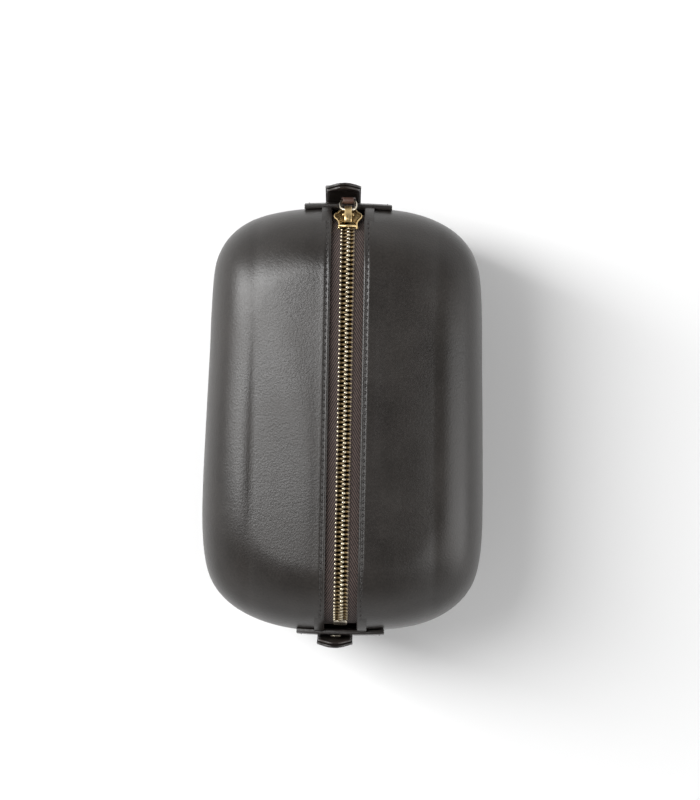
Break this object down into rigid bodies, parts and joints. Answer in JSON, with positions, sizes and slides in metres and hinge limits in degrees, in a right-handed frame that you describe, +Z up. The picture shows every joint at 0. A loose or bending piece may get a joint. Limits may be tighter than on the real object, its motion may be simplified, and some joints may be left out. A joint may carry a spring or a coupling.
{
  "type": "shaving kit bag",
  "caption": "Leather shaving kit bag: a rounded box body with a zip along the top, a slider with a short pull, end patches and a grab tab at each end.",
  "frame": {"origin": "middle of the underside of the base, on the floor", "axes": "+Z up, +Y along the bag towards the closed end of the zip where the slider rests, +X to the right"},
  "size_m": [0.1564, 0.2576, 0.1348],
  "materials": {
    "leather_body": "smooth full-grain leather, semi-gloss",
    "leather_edge": "burnished dark leather edge",
    "lining_cloth": "plain woven cotton lining",
    "zip_tape": "twill zip tape",
    "antique_brass": "antique brass, worn bright on its edges",
    "board": "plain fibre board"
  },
  "bodies": {
    "bag": {"side_panel_left": "leather_body", "side_panel_right": "leather_body", "lining_left": "lining_cloth", "lining_right": "lining_cloth", "base_panel": "leather_body", "base_welt": "leather_edge", "base_board": "board", "base_lining": "lining_cloth", "end_patch_front": "leather_body", "end_patch_rear": "leather_body", "tab_anchor_front": "leather_body", "tab_anchor_rear": "leather_body", "patch_rivet": "antique_brass", "slip_pocket": "lining_cloth", "pocket_binding": "leather_edge", "zip_bottom_stop": "antique_brass", "zip_top_stop_left": "antique_brass", "zip_top_stop_right": "antique_brass"},
    "flap_left": {"top_flap_left": "leather_body", "flap_lining_left": "lining_cloth", "zip_tape_left": "zip_tape", "zip_teeth_left": "antique_brass"},
    "flap_right": {"top_flap_right": "leather_body", "flap_lining_right": "lining_cloth", "zip_tape_right": "zip_tape", "zip_teeth_right": "antique_brass"},
    "slider_carriage": {"slider_pin": "antique_brass"},
    "slider": {"slider_body": "antique_brass", "slider_bridge": "antique_brass"},
    "pull_loop": {"pull_loop": "antique_brass"},
    "pull_strap": {"pull_strap": "leather_body"},
    "front_tab": {"grab_tab_inner_front": "leather_edge", "grab_tab_outer_front": "leather_body"},
    "rear_tab": {"grab_tab_inner_rear": "leather_edge", "grab_tab_outer_rear": "leather_body"}
  },
  "joints": [
    {"name": "mouth_left_open", "type": "hinge", "parent": "bag", "child": "flap_left", "pos_m": [-0.05615, 0, 0.12821], "axis": [0, -1, 0], "range_deg": [0, 60], "deforming": ["zip_tape_left", "zip_teeth_left"]},
    {"name": "mouth_right_open", "type": "hinge", "parent": "bag", "child": "flap_right", "pos_m": [0.05615, 0, 0.12821], "axis": [0, 1, 0], "range_deg": [0, 60.2], "deforming": ["zip_tape_right", "zip_teeth_right"]},
    {"name": "slider_travel", "type": "slide", "parent": "bag", "child": "slider_carriage", "axis": [0, -0.9981, 0.0612], "range_m": [0, 0.21128]},
    {"name": "slider_tilt", "type": "hinge", "parent": "slider_carriage", "child": "slider", "pos_m": [0, 0.11307, 0.11999], "axis": [1, 0, 0], "range_deg": [0, 79.64]},
    {"name": "pull_swing", "type": "hinge", "parent": "slider", "child": "pull_loop", "pos_m": [0, 0.11601, 0.11841], "axis": [1, 0, 0], "range_deg": [0, 140]},
    {"name": "strap_swing", "type": "hinge", "parent": "pull_loop", "child": "pull_strap", "pos_m": [0, 0.12188, 0.11032], "axis": [1, 0, 0], "range_deg": [0, 60], "deforming": ["pull_strap"]},
    {"name": "front_tab_flex", "type": "hinge", "parent": "bag", "child": "front_tab", "pos_m": [0, -0.1252, 0.083], "axis": [1, 0, 0], "range_deg": [0, 45], "stiffness_Nm_per_rad": 0.02},
    {"name": "rear_tab_flex", "type": "hinge", "parent": "bag", "child": "rear_tab", "pos_m": [0, 0.1252, 0.083], "axis": [-1, 0, 0], "range_deg": [0, 45], "stiffness_Nm_per_rad": 0.02}
  ],
  "couplings": [
    {"joint": "mouth_right_open", "follows": "mouth_left_open", "ratio": 1},
    {"joint": "slider_travel", "follows": "mouth_left_open", "m_per_rad": 0.20147},
    {"joint": "slider_tilt", "follows": "mouth_left_open", "ratio": 1.3241}
  ]
}
